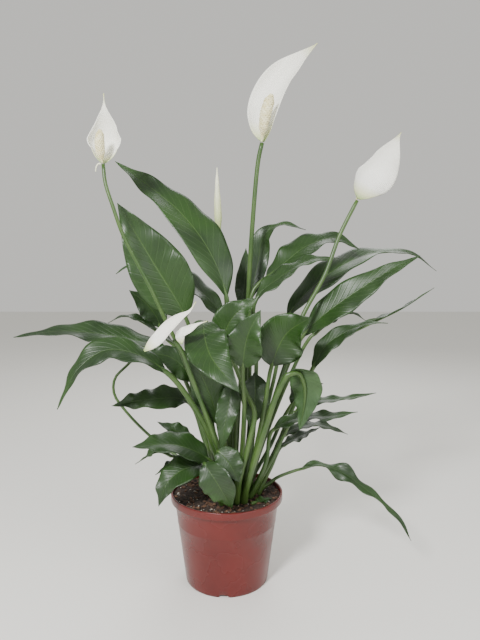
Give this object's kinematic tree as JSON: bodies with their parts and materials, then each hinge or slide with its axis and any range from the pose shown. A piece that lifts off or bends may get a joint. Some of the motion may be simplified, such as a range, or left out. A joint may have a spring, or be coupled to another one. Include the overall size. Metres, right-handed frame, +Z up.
{
  "type": "potted houseplant",
  "caption": "Flowering houseplant with long arching pointed leaves and pale hooded blooms on tall stalks, rooted in soil in a round tapered pot with a rolled rim.",
  "frame": {"origin": "centre of the pot's flat underside, which stands on the surface", "axes": "+Z up along the pot's axis, -Y towards the front of the plant, +X to its right seen from the front"},
  "size_m": [0.4875, 0.2009, 0.6056],
  "materials": {
    "pot_plastic": "semi-gloss moulded brick red",
    "soil": "dark crumbly peat with bark and pale grains",
    "leaf": "waxy semi-gloss deep green with fine veins",
    "stalk": "smooth light green",
    "spathe": "soft satin creamy white with fine veins",
    "spadix": "knobbly matte cream"
  },
  "bodies": {
    "root": {"fallen_leaf": "leaf", "flower_bud_spathe": "spathe", "flower_bud_stalk": "stalk", "flower_left_curl": "spathe", "flower_left_spadix": "spadix", "flower_left_spathe": "spathe", "flower_left_stalk": "stalk", "flower_right_spadix": "spadix", "flower_right_spathe": "spathe", "flower_right_stalk": "stalk", "flower_top_spadix": "spadix", "flower_top_spathe": "spathe", "flower_top_stalk": "stalk", "flower_twisted_bract": "spathe", "flower_twisted_spathe": "spathe", "flower_twisted_stalk": "stalk", "leaf_arched_left": "leaf", "leaf_behind_left": "leaf", "leaf_broad_centre": "leaf", "leaf_broad_left": "leaf", "leaf_broad_right": "leaf", "leaf_dark_centre": "leaf", "leaf_drooping_left": "leaf", "leaf_drooping_left_rear": "leaf", "leaf_folded_centre": "leaf", "leaf_front": "leaf", "leaf_high_right": "leaf", "leaf_high_right_slim": "leaf", "leaf_hooked_rear": "leaf", "leaf_inner_left": "leaf", "leaf_long_left": "leaf", "leaf_long_right": "leaf", "leaf_long_right_slim": "leaf", "leaf_looping_stalk": "leaf", "leaf_low_left": "leaf", "leaf_low_left_rear": "leaf", "leaf_low_left_slim": "leaf", "leaf_low_right": "leaf", "leaf_low_right_rear": "leaf", "leaf_low_right_under": "leaf", "leaf_low_right_upper": "leaf", "leaf_mid_left": "leaf", "leaf_mid_right": "leaf", "leaf_nodding_left": "leaf", "leaf_nodding_right": "leaf", "leaf_over_soil": "leaf", "leaf_over_soil_rear": "leaf", "leaf_right_rear": "leaf", "leaf_slim_left": "leaf", "leaf_small_left": "leaf", "leaf_small_right": "leaf", "leaf_tall_left": "leaf", "leaf_trailing_right": "leaf", "leaf_turned_right": "leaf", "leaf_upright_rear": "leaf", "pot": "pot_plastic", "potting_soil": "soil"}
  },
  "joints": []
}
